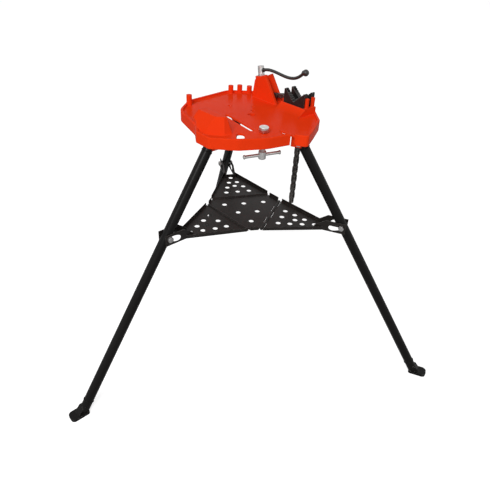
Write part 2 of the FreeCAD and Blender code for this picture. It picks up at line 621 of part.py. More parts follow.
def link_plate(a, b, x0, hole_r):
    """A flat side plate from pin a to pin b (both as Y, Z), its inner face at x0."""
    along = (b - a).normalize()
    across = V(0, -along.z, along.y)
    side = across * PLATE_HALF_HEIGHT
    back = along * PLATE_HALF_HEIGHT
    wire = Part.Wire([
        Part.LineSegment(a - side, b - side).toShape(),
        Part.Arc(b - side, b + back, b + side).toShape(),
        Part.LineSegment(b + side, a + side).toShape(),
        Part.Arc(a + side, a - back, a - side).toShape()])
    body = Part.Face(wire).extrude(V(LINK_THICK, 0, 0))
    for pin_centre in (a, b):
        body = body.cut(rod(pin_centre - V(LINK_THICK, 0, 0), V(1, 0, 0), hole_r, 3 * LINK_THICK))
    body.translate(V(x0, 0, 0))
    return body


def chain_pin(centre):
    shaft = rod(centre - V(chain_half, 0, 0), V(1, 0, 0), CHAIN_PIN_R, 2 * chain_half)
    roller = rod(centre - V(ROLLER_HALF, 0, 0), V(1, 0, 0), ROLLER_R, 2 * ROLLER_HALF)
    return fused([shaft, roller])


def walk(path, start, step):
    """Pin centres spaced one pitch apart along a chain of straight runs, by chords."""
    pins = [start]
    samples = []
    for a, b in zip(path, path[1:]):
        count = max(int((b - a).Length / CHAIN_WALK), 1)
        samples += [a + (b - a) * (k / count) for k in range(count)]
    samples.append(path[-1])
    for point in samples:
        if (point - pins[-1]).Length >= step:
            pins.append(point)
    return pins


rest_z = saddle_top + PLATE_HALF_HEIGHT + CHAIN_LIFT
bend_centre = V(VISE_X, TAIL_Y + CHAIN_BEND, rest_z - CHAIN_BEND)
path = [clevis_pin, V(VISE_X, horn_end + CHAIN_HORN_GAP, rest_z + CHAIN_HORN_LIFT),
        V(VISE_X, CHAIN_LEVEL_Y, rest_z)]
for k in range(CHAIN_BEND_STEPS + 1):
    turn = math.pi / 2 * k / CHAIN_BEND_STEPS
    path.append(bend_centre + V(0, -math.sin(turn), math.cos(turn)) * CHAIN_BEND)
path.append(V(VISE_X, TAIL_Y, PLATE_TOP - CHAIN_RUN_DROP))
run_pins = walk(path, clevis_pin, CHAIN_PITCH)
tail_top = run_pins[-1]
tail_pins = [tail_top - V(0, 0, k * CHAIN_PITCH) for k in range(TAIL_LINKS + 1)]


def links(pins, first, offset_x, hole):
    plates = []
    for k in range(first, len(pins) - 1, 2):
        for x0 in (offset_x, -offset_x - LINK_THICK):
            plates.append(link_plate(pins[k], pins[k + 1], x0, hole))
    return Part.makeCompound(plates)


pin_hole = CHAIN_PIN_R + RUNNING_FIT
nodes["chain_inner_plates"] = links(run_pins, 0, inner_x, pin_hole)
nodes["chain_outer_plates"] = links(run_pins, 1, outer_x, pin_hole)
nodes["chain_pins"] = Part.makeCompound([chain_pin(p) for p in run_pins])
tail_first = len(run_pins) % 2
nodes["tail_outer_plates"] = links(tail_pins, tail_first, outer_x, pin_hole)
nodes["tail_inner_plates"] = links(tail_pins, 1 - tail_first, inner_x, pin_hole)
nodes["tail_pins"] = Part.makeCompound([chain_pin(p) for p in tail_pins[1:]])

# ---- ceiling-brace screw ----
cap_low = floor_top + BRACE_CAP_GAP
screw_top = cap_low + BRACE_SCREW_IN_CAP
hub_foot = V(BRACE_X, BRACE_Y, PLATE_TOP - BRACE_HUB_DROP - BRACE_HUB_LENGTH)
brace_screw = rod(hub_foot, Z, BRACE_R, screw_top - hub_foot.z)
brace_hub = rod(hub_foot, Z, BRACE_HUB_R, BRACE_HUB_LENGTH)
bar_turn = math.radians(BRACE_BAR_TURN)
bar_along = V(math.cos(bar_turn), math.sin(bar_turn), 0)
bar_mid = hub_foot + Z * (BRACE_HUB_LENGTH / 2)
bar_hole = rod(bar_mid - bar_along * (2 * BRACE_HUB_R), bar_along, BRACE_BAR_R + RUNNING_FIT, 4 * BRACE_HUB_R)
nodes["brace_screw"] = fused([brace_screw, brace_hub]).cut(bar_hole)
cup = rod(V(BRACE_X, BRACE_Y, cap_low), Z, BRACE_CAP_R, BRACE_CAP_HEIGHT)
cup_top = cap_low + BRACE_CAP_HEIGHT
cup = cup.makeFillet(BRACE_CAP_ROUND, [e for e in cup.Edges if e.BoundBox.ZMin > cup_top - 0.01])
cup = cup.cut(rod(V(BRACE_X, BRACE_Y, cap_low - 1), Z, BRACE_R + RUNNING_FIT, BRACE_CAP_BORE + 1))
nodes["brace_cup"] = cup
bar_half = BRACE_BAR_LENGTH / 2
plain_half = bar_half - BRACE_END_LAP
nodes["brace_bar"] = rod(bar_mid - bar_along * plain_half, bar_along, BRACE_BAR_R, 2 * plain_half)
bar_ends = []
for sign in (-1, 1):
    end_start = bar_mid + bar_along * (sign * plain_half)
    bar_ends.append(rod(end_start, bar_along * sign, BRACE_END_R, BRACE_END_LENGTH))
nodes["brace_bar_ends"] = Part.makeCompound(bar_ends)

# ---- folding tray: centre plate and three wings ----
fold_axis_z = TRAY_TOP - TRAY_SHEET / 2
fold_point = V(TRAY_FOLD_RADIUS, 0, fold_axis_z)
bolt_from_fold = tray_bolt - fold_point
wing_reach = bolt_from_fold.Length
wing_bias = math.atan2(bolt_from_fold.z, bolt_from_fold.x)


def bolt_when_folded(angle):
    left = slope - angle
    return V(PIVOT_RADIUS + bolt_along * math.sin(left), 0, PIVOT_HEIGHT - bolt_along * math.cos(left))


closed = bolt_when_folded(math.radians(FOLD_ANGLE))
wing_fold = math.acos((closed.x - TRAY_FOLD_RADIUS) / wing_reach) + wing_bias
tray_lift = closed.z + wing_reach * math.sin(wing_fold - wing_bias) - fold_axis_z
print("wing fold degrees %.4f, tray lift mm %.4f" % (math.degrees(wing_fold), tray_lift))

# where the leg's bolt goes, seen from the wing, with the fold's constant ratios
seen = []
for k in range(FOLD_STEPS + 1):
    part_way = k / FOLD_STEPS
    where = bolt_when_folded(math.radians(FOLD_ANGLE) * part_way)
    offset = where - V(TRAY_FOLD_RADIUS, 0, fold_axis_z + tray_lift * part_way)
    turn = wing_fold * part_way
    seen.append((offset.x * math.cos(turn) - offset.z * math.sin(turn),
                 offset.x * math.sin(turn) + offset.z * math.cos(turn)))
slot_in = min(a for a, b in seen)

knuckle_span = 2 * (TRAY_FOLD_HALF - KNUCKLE_INSET)
knuckle_edges = [-knuckle_span / 2 + k * knuckle_span / KNUCKLES for k in range(KNUCKLES + 1)]


def knuckles(first, towards):
    parts = []
    for k in range(first, KNUCKLES, 2):
        y0 = knuckle_edges[k] + KNUCKLE_PLAY / 2
        y1 = knuckle_edges[k + 1] - KNUCKLE_PLAY / 2
        ring = rod(V(TRAY_FOLD_RADIUS, y0, fold_axis_z), V(0, 1, 0), KNUCKLE_R, y1 - y0)
        x0, x1 = sorted((TRAY_FOLD_RADIUS, TRAY_FOLD_RADIUS + towards * (FOLD_GAP + TAB_LAP)))
        tab = block(x0, x1, y0, y1, TRAY_TOP - TRAY_SHEET, TRAY_TOP)
        parts += [ring, tab]
    return parts


def pin_hole_along_fold():
    start = V(TRAY_FOLD_RADIUS, -2 * TRAY_FOLD_HALF, fold_axis_z)
    return rod(start, V(0, 1, 0), HINGE_PIN_R + RUNNING_FIT, 4 * TRAY_FOLD_HALF)


def bolt_slot():
    """Where the bolt runs in the ears: its loop, grown by its radius and the clearance."""
    clear = TRAY_BOLT_R + SLOT_CLEAR
    run = [V(TRAY_FOLD_RADIUS + a, -TUBE_OD, fold_axis_z + b) for a, b in seen]
    edge = []
    for k, point in enumerate(run):
        along = (run[min(k + 1, FOLD_STEPS)] - run[max(k - 1, 0)]).normalize()
        edge.append(point + V(along.z, 0, -along.x) * clear)
    loop = Part.Face(Part.makePolygon(edge + edge[:1])).extrude(V(0, 2 * TUBE_OD, 0))
    return fused([loop, rod(run[0], V(0, 1, 0), clear, 2 * TUBE_OD)])


def wing():
    start = TRAY_FOLD_RADIUS + FOLD_GAP
    web_end = TRAY_FOLD_RADIUS + slot_in - tube_r / math.cos(slope) - WEB_CLEAR
    z0 = TRAY_TOP - TRAY_SHEET
    ear_inner = tube_r + EAR_PLAY
    taper = (TRAY_FOLD_HALF - ear_outer) / (web_end - TRAY_FOLD_RADIUS)
    start_half = TRAY_FOLD_HALF - taper * FOLD_GAP
    corners = [V(start, -start_half, z0), V(web_end, -ear_outer, z0),
               V(web_end, ear_outer, z0), V(start, start_half, z0)]
    sheet = Part.Face(Part.makePolygon(corners + corners[:1])).extrude(V(0, 0, TRAY_SHEET))
    parts = [sheet]
    for sign in (-1, 1):
        lip_start = start + LIP_INSET
        lip_half = start_half - LIP_INSET * taper
        lip = [V(lip_start, sign * lip_half, z0), V(web_end, sign * ear_outer, z0),
               V(web_end, sign * (ear_outer - TRAY_SHEET), z0),
               V(lip_start, sign * (lip_half - TRAY_SHEET), z0)]
        parts.append(Part.Face(Part.makePolygon(lip + lip[:1])).extrude(V(0, 0, TRAY_LIP)))
        top = TRAY_BOLT_HEIGHT + EAR_RISE
        tip = tray_bolt.x + EAR_REACH
        y0, y1 = sorted((sign * ear_inner, sign * ear_outer))
        ear = [V(web_end - EAR_LAP, y0, z0), V(tip, y0, z0), V(tip, y0, top),
               V(web_end + EAR_SHOULDER, y0, top), V(web_end - EAR_LAP, y0, z0 + TRAY_LIP)]
        parts.append(Part.Face(Part.makePolygon(ear + ear[:1])).extrude(V(0, y1 - y0, 0)))
    body = fused(parts + knuckles(1, 1))
    body = body.cut(bolt_slot()).cut(pin_hole_along_fold())
    for out, across in WING_HOLES:
        foot = V(TRAY_FOLD_RADIUS + out, across, z0 - TRAY_LIP)
        body = body.cut(rod(foot, Z, TRAY_HOLE_R, 2 * TRAY_LIP))
    return body


def tray_centre():
    ends = []
    for azimuth in legs.values():
        a = math.radians(azimuth)
        e = V(math.cos(a), math.sin(a), 0)
        t = V(-math.sin(a), math.cos(a), 0)
        reach = TRAY_FOLD_RADIUS - FOLD_GAP
        ends += [e * reach - t * TRAY_FOLD_HALF, e * reach + t * TRAY_FOLD_HALF]
    z0 = V(0, 0, TRAY_TOP - TRAY_SHEET)
    loop = [p + z0 for p in ends]
    parts = [Part.Face(Part.makePolygon(loop + loop[:1])).extrude(V(0, 0, TRAY_SHEET))]
    for k in (1, 3, 5):
        a = loop[k]
        b = loop[(k + 1) % 6]
        along = (b - a).normalize()
        inward = V(-along.y, along.x, 0)
        lip = Part.makePolygon([a, b, b + inward * TRAY_SHEET, a + inward * TRAY_SHEET, a])
        parts.append(Part.Face(lip).extrude(V(0, 0, TRAY_LIP)))
    for azimuth in legs.values():
        parts += [turned(part, azimuth) for part in knuckles(0, -1)]
    body = fused(parts)
    hole_foot = TRAY_TOP - TRAY_LIP
    corner_azimuth = (REAR_AZIMUTH + FRONT_AZIMUTH) / 2
    holes = [(CENTRE_HOLE_RADIUS, azimuth) for azimuth in legs.values()]
    holes += [(CORNER_HOLE_RADIUS, azimuth) for azimuth in (0, corner_azimuth, -corner_azimuth)]
    for azimuth in legs.values():
        body = body.cut(turned(pin_hole_along_fold(), azimuth))
    for out, azimuth in holes:
        hole = rod(V(out, 0, hole_foot), Z, TRAY_HOLE_R, 2 * TRAY_LIP)
        body = body.cut(turned(hole, azimuth))
    return body


nodes["tray_centre"] = tray_centre()
for side, azimuth in legs.items():
    nodes["tray_wing_" + side] = turned(wing(), azimuth)
    pin_half = TRAY_FOLD_HALF - HINGE_PIN_INSET
    pin = rod(V(TRAY_FOLD_RADIUS, -pin_half, fold_axis_z), V(0, 1, 0), HINGE_PIN_R, 2 * pin_half)
    nodes["tray_hinge_pin_" + side] = turned(pin, azimuth)

# ---- move to the floor, mid footprint, and write ----
everything = Part.makeCompound(list(nodes.values()))
box = everything.optimalBoundingBox(False, False)
shift = V(-(box.XMin + box.XMax) / 2, -(box.YMin + box.YMax) / 2, -box.ZMin)
print("shift", shift, "size", box.XLength, box.YLength, box.ZLength)
print("tail top", tail_top, "clevis", clevis_pin, "run pins", len(run_pins), "hub", hub_mid)
os.makedirs("parts", exist_ok=True)
for name, shape in nodes.items():
    shape.translate(shift)
    if not shape.isValid():
        print("not valid:", name)
    for solid in shape.Solids:
        if not solid.isClosed() or solid.Volume <= 0:
            print("bad solid in", name, solid.Volume)
    shape.exportStep("parts/" + name + ".step")
    print(name, len(shape.Solids), round(shape.Volume))
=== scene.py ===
import json
import math

import bpy
from mathutils import Matrix, Vector

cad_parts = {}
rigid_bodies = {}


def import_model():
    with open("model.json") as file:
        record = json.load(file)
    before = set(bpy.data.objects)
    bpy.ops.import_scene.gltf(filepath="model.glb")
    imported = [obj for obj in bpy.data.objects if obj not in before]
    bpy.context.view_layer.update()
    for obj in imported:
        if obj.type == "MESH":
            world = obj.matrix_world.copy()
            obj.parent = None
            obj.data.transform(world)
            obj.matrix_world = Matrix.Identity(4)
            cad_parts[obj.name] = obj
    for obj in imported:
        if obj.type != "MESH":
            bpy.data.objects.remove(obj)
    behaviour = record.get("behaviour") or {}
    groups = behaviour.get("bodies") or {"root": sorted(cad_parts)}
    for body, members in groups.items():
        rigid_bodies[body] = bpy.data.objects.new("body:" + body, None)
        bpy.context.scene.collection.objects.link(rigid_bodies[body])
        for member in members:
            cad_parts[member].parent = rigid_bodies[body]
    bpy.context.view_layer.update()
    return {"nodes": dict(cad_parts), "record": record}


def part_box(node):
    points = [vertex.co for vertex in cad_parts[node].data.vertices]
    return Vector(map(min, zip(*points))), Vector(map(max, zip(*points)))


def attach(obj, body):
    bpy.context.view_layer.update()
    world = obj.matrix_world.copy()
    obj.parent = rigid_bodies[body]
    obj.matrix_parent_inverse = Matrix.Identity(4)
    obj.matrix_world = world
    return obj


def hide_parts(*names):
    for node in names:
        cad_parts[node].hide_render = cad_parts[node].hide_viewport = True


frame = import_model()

# ---- studio ----
# A pale floor under an even white surround, with a broad soft lamp high on one side and a much weaker
# one on the other. The camera stands 1.43 m up and 1.36 m away from the middle of the stand.


class Tone:
    """A node tree and one socket in it. Arithmetic on tones adds Math nodes."""

    def __init__(self, tree, socket=None):
        self.tree = tree
        self.socket = socket

    def node(self, kind, settings=None, sockets=None, out=0):
        made = self.tree.nodes.new(kind)
        for key, value in (settings or {}).items():
            setattr(made, key, value)
        for key, value in (sockets or {}).items():
            if isinstance(value, Tone):
                self.tree.links.new(value.socket, made.inputs[key])
            else:
                made.inputs[key].default_value = value
        return Tone(self.tree, made.outputs[out])

    def math_node(self, operation, first, second):
        return self.node("ShaderNodeMath", {"operation": operation}, {0: first, 1: second})

    def __add__(self, other):
        return self.math_node("ADD", self, other)

    __radd__ = __add__

    def __sub__(self, other):
        return self.math_node("SUBTRACT", self, other)

    def __rsub__(self, other):
        return self.math_node("SUBTRACT", other, self)

    def __mul__(self, other):
        return self.math_node("MULTIPLY", self, other)

    __rmul__ = __mul__

    def __gt__(self, other):
        return self.math_node("GREATER_THAN", self, other)


surround = bpy.data.worlds.new("studio_surround")
bpy.context.scene.world = surround
surround.use_nodes = True
surround.node_tree.nodes.clear()
air = Tone(surround.node_tree)
seen = air.node("ShaderNodeLightPath", out="Is Camera Ray")
seen = seen + air.node("ShaderNodeLightPath", out="Is Glossy Ray")
seen = seen + air.node("ShaderNodeLightPath", out="Is Transmission Ray")
UNSEEN_GLOW = 0.38                # the surround's light on dull surfaces; seen or mirrored, it is 1
glow = air.node("ShaderNodeBackground",
                sockets={"Color": (1, 1, 1, 1), "Strength": UNSEEN_GLOW + (1 - UNSEEN_GLOW) * seen})
ending = surround.node_tree.nodes.new("ShaderNodeOutputWorld")
surround.node_tree.links.new(glow.socket, ending.inputs["Surface"])

bpy.ops.object.select_all(action="DESELECT")
bpy.ops.mesh.primitive_plane_add(size=60, location=(0, 0, 0))
floor = bpy.context.object
floor.name = "studio_floor"
pale = bpy.data.materials.new("pale_floor")
pale.use_nodes = True
pale_shader = pale.node_tree.nodes["Principled BSDF"]
pale_shader.inputs["Base Color"].default_value = (0.60, 0.60, 0.60, 1)
pale_shader.inputs["Roughness"].default_value = 0.9
pale_shader.inputs["Emission Color"].default_value = (1, 1, 1, 1)
FLOOR_GLOW = 0.72                 # for the camera alone, so that the floor shows white
lit = Tone(pale.node_tree)
camera_ray = lit.node("ShaderNodeLightPath", out="Is Camera Ray")
pale.node_tree.links.new((camera_ray * FLOOR_GLOW).socket, pale_shader.inputs["Emission Strength"])
floor.data.materials.append(pale)

STAND_MIDDLE = Vector((0, 0, 0.7))
lamps = (("key_lamp", (-3.6, -2.0, 4.2), 3.0, 205), ("side_lamp", (3.8, -3.0, 3.0), 2.6, 8))
for lamp_name, place, size, power in lamps:
    lamp = bpy.data.lights.new(lamp_name, "AREA")
    lamp.size = size
    lamp.energy = power
    holder = bpy.data.objects.new(lamp_name, lamp)
    bpy.context.collection.objects.link(holder)
    holder.location = place
    holder.rotation_euler = (STAND_MIDDLE - Vector(place)).to_track_quat("-Z", "Y").to_euler()

camera = bpy.data.cameras.new("view_camera")
camera.lens = 33.7
camera.sensor_width = 36
camera.shift_x = 0.004
camera.shift_y = 0.005
viewer = bpy.data.objects.new("view_camera", camera)
bpy.context.collection.objects.link(viewer)
bpy.context.scene.camera = viewer
CAMERA_PLACE = Vector((-0.82704, -1.07345, 1.43124))
LOOK = Vector((0.56593854, 0.59196085, -0.57384311))
HEAD_TILT = math.radians(3.148)
level = LOOK.cross(Vector((0, 0, 1))).normalized()
right_hand = level * math.cos(HEAD_TILT) + level.cross(LOOK) * math.sin(HEAD_TILT)
overhead = right_hand.cross(LOOK)
stance = Matrix((right_hand, overhead, -LOOK)).transposed().to_4x4()
stance.translation = CAMERA_PLACE
viewer.matrix_world = stance

bpy.context.scene.view_settings.view_transform = "Standard"

# ---- legs ----
# Each leg is a length of steel pipe with a forged eye plugged into its top and a bent flat foot plugged
# into its lower end, stoved in black gloss enamel. A bolt and nut through the pipe carry the tray.


def finish(name, colour, roughness, metallic=0.0, specular=0.5):
    """A new material, its shader with the constants set on it, and a tone to build nodes on."""
    material = bpy.data.materials.new(name)
    material.use_nodes = True
    shader = material.node_tree.nodes["Principled BSDF"]
    shader.inputs["Base Color"].default_value = (*colour, 1)
    shader.inputs["Roughness"].default_value = roughness
    shader.inputs["Metallic"].default_value = metallic
    shader.inputs["Specular IOR Level"].default_value = specular
    return material, shader, Tone(material.node_tree)


def speckle(tone, scale, detail=3.0, rough=0.55, stretch=(1, 1, 1)):
    """Even noise over the piece, drawn out along the chosen axes."""
    where = tone.node("ShaderNodeTexCoord", out="Object")
    drawn = tone.node("ShaderNodeMapping", sockets={"Vector": where, "Scale": stretch})
    return tone.node("ShaderNodeTexNoise", sockets={"Vector": drawn, "Scale": scale, "Detail": detail,
                                                    "Roughness": rough}, out=0)


def between(tone, low, high, mask):
    """One colour where the mask is 0 and another where it is 1."""
    return tone.node("ShaderNodeMix", {"data_type": "RGBA"}, {6: low, 7: high, 0: mask}, out=2)


def feed(tone, value, shader, socket):
    tone.tree.links.new(value.socket, shader.inputs[socket])


def rounded_edges(tone, radius):
    return tone.node("ShaderNodeBevel", {"samples": 6}, {"Radius": radius})


def edge_wear_and_sheen(tone, radius):
    """About 1 along sharp edges and 0 on flat faces. It places edge wear, and on the red enamel a painted
    highlight along every edge.
    """
    soft = rounded_edges(tone, radius)
    flat = tone.node("ShaderNodeNewGeometry", out="Normal")
    likeness = tone.node("ShaderNodeVectorMath", {"operation": "DOT_PRODUCT"}, {0: soft, 1: flat},
                         out="Value")
    return tone.node("ShaderNodeMapRange",
                     sockets={"Value": likeness, "From Min": 0.995, "From Max": 0.90})


def roughen(tone, shader, height, distance, radius=0.0):
    """Bump relief of the given height and distance, over edges shaded round to the given radius."""
    sockets = {"Height": height, "Distance": distance, "Strength": 1.0}
    if radius:
        sockets["Normal"] = rounded_edges(tone, radius)
    feed(tone, tone.node("ShaderNodeBump", sockets=sockets), shader, "Normal")


def dress(material, *names):
    """Puts a finish on CAD nodes."""
    for name in names:
        for slot in frame["nodes"][name].material_slots:
            slot.link = "OBJECT"
            slot.material = material


black_enamel, shader, tone = finish("black_enamel", (0.007, 0.006, 0.006), 0.26, specular=0.11)
dust = speckle(tone, 9, 5)
scuffs = speckle(tone, 420, 2, stretch=(1, 1, 0.06)) > 0.71
edge = edge_wear_and_sheen(tone, 0.0016)
chips = edge * (speckle(tone, 160, 4) > 0.56)
base = between(tone, (0.004, 0.0036, 0.0034, 1), (0.009, 0.0082, 0.0078, 1), dust)
base = between(tone, base, (0.035, 0.032, 0.030, 1), scuffs * 0.4)
feed(tone, between(tone, base, (0.20, 0.19, 0.18, 1), chips), shader, "Base Color")
feed(tone, 0.17 + dust * 0.16 + scuffs * 0.15 + chips * 0.2, shader, "Roughness")
roughen(tone, shader, speckle(tone, 320, 2) * 0.3 + speckle(tone, 40, 2), 0.00035, 0.0015)
for side in ("rear", "right", "left"):
    dress(black_enamel, "leg_tube_" + side, "leg_head_" + side, "foot_" + side)

record = {joint["name"]: joint for joint in frame["record"]["behaviour"]["joints"]}
LEG_SLOPE = math.radians(33.46)
TUBE_RADIUS = 0.01685
HEAD_SEAM = 0.026                 # along the leg from its pivot
FOOT_SEAM_HEIGHT = 0.046          # above the floor
BEAD_RADIUS = 0.0019
BEAD_UNEVEN = 0.00035
leg_lines = {}
for side in ("rear", "right", "left"):
    joint = record["leg_" + side + "_fold"]
    pivot = Vector(joint["pos_m"])
    across = Vector(joint["axis"])
    outward = across.cross(Vector((0, 0, 1)))
    down_leg = outward * math.sin(LEG_SLOPE) - Vector((0, 0, math.cos(LEG_SLOPE)))
    leg_lines[side] = (pivot, down_leg, across)
    foot_seam = (pivot.z - FOOT_SEAM_HEIGHT) / math.cos(LEG_SLOPE)
    for place, bead, seed in (("head", HEAD_SEAM, 3), ("foot", foot_seam, 8)):
        bpy.ops.object.select_all(action="DESELECT")
        bpy.ops.mesh.primitive_torus_add(major_radius=TUBE_RADIUS, minor_radius=BEAD_RADIUS,
                                         major_segments=72, minor_segments=10)
        weld = bpy.context.object
        weld.name = "weld_" + place + "_" + side
        bpy.ops.object.mode_set(mode="EDIT")
        bpy.ops.mesh.select_all(action="SELECT")
        bpy.ops.transform.vertex_random(offset=BEAD_UNEVEN, seed=seed)
        bpy.ops.object.mode_set(mode="OBJECT")
        bpy.ops.object.shade_smooth()
        weld.location = pivot + down_leg * bead
        weld.rotation_euler = down_leg.to_track_quat("Z", "Y").to_euler()
        bpy.ops.object.transform_apply(location=True, rotation=True, scale=True)
        weld.data.materials.append(black_enamel)
        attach(weld, "leg_" + side)

zinc, shader, tone = finish("zinc_plate", (0.42, 0.42, 0.43), 0.38, metallic=1.0)
tarnish = speckle(tone, 90, 5)
edge = edge_wear_and_sheen(tone, 0.0008)
feed(tone, between(tone, (0.30, 0.29, 0.275, 1), (0.55, 0.55, 0.56, 1), tarnish), shader, "Base Color")
feed(tone, 0.30 + tarnish * 0.22 - edge * 0.1, shader, "Roughness")
roughen(tone, shader, speckle(tone, 900, 2), 0.00015, 0.0006)
for side in ("rear", "right", "left"):
    dress(zinc, "tray_bolt_" + side, "tray_nut_" + side)


def lay_along(piece, start, direction):
    """Stands the piece at the start, its Z along the direction, and applies the move."""
    piece.location = start
    piece.rotation_euler = Vector(direction).to_track_quat("Z", "Y").to_euler()
    bpy.ops.object.transform_apply(location=True, rotation=True, scale=True)


def hexagon_head(name, radius, height, material, body):
    """The crown of a forged hexagon head, bevelled at its corners."""
    bpy.ops.object.select_all(action="DESELECT")
    bpy.ops.mesh.primitive_cylinder_add(vertices=6, radius=radius, depth=height, location=(0, 0, height / 2))
    head = bpy.context.object
    head.name = name
    bpy.ops.object.transform_apply(location=True, rotation=True, scale=True)
    bpy.ops.object.mode_set(mode="EDIT")
    bpy.ops.mesh.select_all(action="SELECT")
    bpy.ops.mesh.bevel(offset=height * 0.14, segments=3, affect="EDGES")
    bpy.ops.object.mode_set(mode="OBJECT")
    bpy.ops.object.shade_smooth_by_angle(angle=math.radians(35))
    head.data.materials.append(material)
    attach(head, body)
    return head


TRAY_BOLT_ALONG = 0.277 / math.cos(LEG_SLOPE)     # along the leg from its pivot, 277 mm lower
EAR_FACE = 0.02155                # tray ears' outer faces, from the leg's middle plane
HEAD_HEIGHT = 0.007               # bolt head, up to the crown that goes on it
CROWN_RADIUS = 0.0088
CROWN_HEIGHT = 0.0022
for side, (pivot, down_leg, across) in leg_lines.items():
    outer_end = pivot + down_leg * TRAY_BOLT_ALONG + across * (EAR_FACE + HEAD_HEIGHT)
    head = hexagon_head("tray_bolt_cap_" + side, CROWN_RADIUS, CROWN_HEIGHT, zinc, "leg_" + side)
    lay_along(head, outer_end, across)

# ---- leg pivot bolts ----
# A hexagon-headed bolt goes through the casting's two cheeks and the eye of each leg, with a nut on its
# other end. Both are forged steel, zinc plated.
dress(zinc, "leg_pivot_bolts", "leg_pivot_nuts")
CHEEK_FACE = 0.02645              # cheeks' outer faces, from the leg's middle plane
for side, (pivot, down_leg, across) in leg_lines.items():
    outer_end = pivot + across * (CHEEK_FACE + HEAD_HEIGHT)
    head = hexagon_head("pivot_bolt_cap_" + side, CROWN_RADIUS, CROWN_HEIGHT, zinc, "frame")
    lay_along(head, outer_end, across)

# ---- base casting ----
# One grey-iron casting: plate with raised rim and skirt, leg cheeks, rear pipe rest, vise saddle, tilted
# screw boss and upright posts. It is fettled, then sprayed with orange-red enamel.
EDGE_BEVEL = 0.0010               # asked for; the overlap clamp leaves a few micrometres of it
red_enamel, shader, tone = finish("red_enamel", (0.80, 0.045, 0.010), 0.24, specular=0.01)
cloud = speckle(tone, 7, 4)
edge = edge_wear_and_sheen(tone, 0.0030)
chips = edge_wear_and_sheen(tone, 0.0016) * (speckle(tone, 240, 4) > 0.60)
base = between(tone, (0.80, 0.036, 0.005, 1), (0.90, 0.050, 0.008, 1), cloud)
# Painted highlight: every edge of the casting is mixed towards a lighter orange, standing in for light
# caught on the edges.
base = between(tone, base, (0.90, 0.085, 0.030, 1), edge * 0.7)
feed(tone, between(tone, base, (0.10, 0.045, 0.035, 1), chips * 0.6), shader, "Base Color")
feed(tone, 0.13 + speckle(tone, 26, 4) * 0.16 + chips * 0.3, shader, "Roughness")
roughen(tone, shader, speckle(tone, 210, 2) * 0.5 + speckle(tone, 34, 3) * 1.6, 0.00045, 0.0028)


def merged_copy(node_name, name, width, material):
    """A CAD node's mesh as one joined surface, with a bevel that steadies the shading at its edges.

    The bevel stops where it would overlap its neighbours, so the edges stay sharp in the mesh: every
    point lies within 0.01 mm of the CAD's. Only the finish's shading makes them look rounded.
    """
    bpy.ops.object.select_all(action="DESELECT")
    node = frame["nodes"][node_name]
    node.select_set(True)
    bpy.context.view_layer.objects.active = node
    bpy.ops.object.duplicate()
    joined = bpy.context.object
    joined.name = name
    bpy.ops.object.parent_clear(type="CLEAR_KEEP_TRANSFORM")
    bpy.ops.object.mode_set(mode="EDIT")
    bpy.ops.mesh.select_all(action="SELECT")
    bpy.ops.mesh.remove_doubles(threshold=0.00001)
    bpy.ops.object.mode_set(mode="OBJECT")
    bpy.ops.object.modifier_add(type="BEVEL")
    rounding = joined.modifiers[-1]
    rounding.width = width
    rounding.segments = 3
    rounding.limit_method = "ANGLE"
    rounding.angle_limit = math.radians(40)
    rounding.use_clamp_overlap = True
    rounding.miter_outer = "MITER_ARC"
    bpy.ops.object.modifier_apply(modifier=rounding.name)
    bpy.ops.object.shade_smooth_by_angle(angle=math.radians(50))
    bpy.ops.object.modifier_add(type="WEIGHTED_NORMAL")
    evened = joined.modifiers[-1]
    evened.weight = 100
    evened.keep_sharp = True
    bpy.ops.object.modifier_apply(modifier=evened.name)
    joined.data.materials.clear()
    joined.data.materials.append(material)
    return joined


casting = merged_copy("vise_base", "base_casting", EDGE_BEVEL, red_enamel)
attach(casting, "frame")
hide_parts("vise_base")

# ---- vise jaws ----
# Two hardened steel V jaws with teeth cut across them, blacked in oil. Each is held down on the saddle
# by two socket screws.
blacked_steel, shader, tone = finish("blacked_steel", (0.035, 0.034, 0.034), 0.42, metallic=0.85)
bloom = speckle(tone, 60, 5)
bright = edge_wear_and_sheen(tone, 0.0012) * (0.35 + speckle(tone, 500, 3) * 0.9)
base = between(tone, (0.020, 0.019, 0.019, 1), (0.052, 0.048, 0.045, 1), bloom)
feed(tone, between(tone, base, (0.34, 0.32, 0.31, 1), bright * 0.6), shader, "Base Color")
feed(tone, 0.34 + bloom * 0.22, shader, "Roughness")
roughen(tone, shader, speckle(tone, 700, 3), 0.0003, 0.0006)
dress(blacked_steel, "jaw_rear", "jaw_front", "jaw_screws")

# ---- chain screw, washer, hub and crank handle ----
# The screw, its thrust washer and its hub are bright plated steel, turned on a lathe. The crank is a
# drop-forged arm, blacked, with a ferrule at the hub and a turned knob at its end.
bright_steel, shader, tone = finish("bright_steel", (0.66, 0.65, 0.64), 0.24, metallic=1.0)
turning_marks = speckle(tone, 30, 3, stretch=(1, 1, 60))
haze = speckle(tone, 45, 4)
feed(tone, between(tone, (0.50, 0.485, 0.47, 1), (0.76, 0.75, 0.74, 1), haze), shader, "Base Color")
feed(tone, 0.16 + haze * 0.14 + turning_marks * 0.12, shader, "Roughness")
roughen(tone, shader, turning_marks, 0.00018, 0.0008)
dress(bright_steel, "chain_screw", "screw_washer")


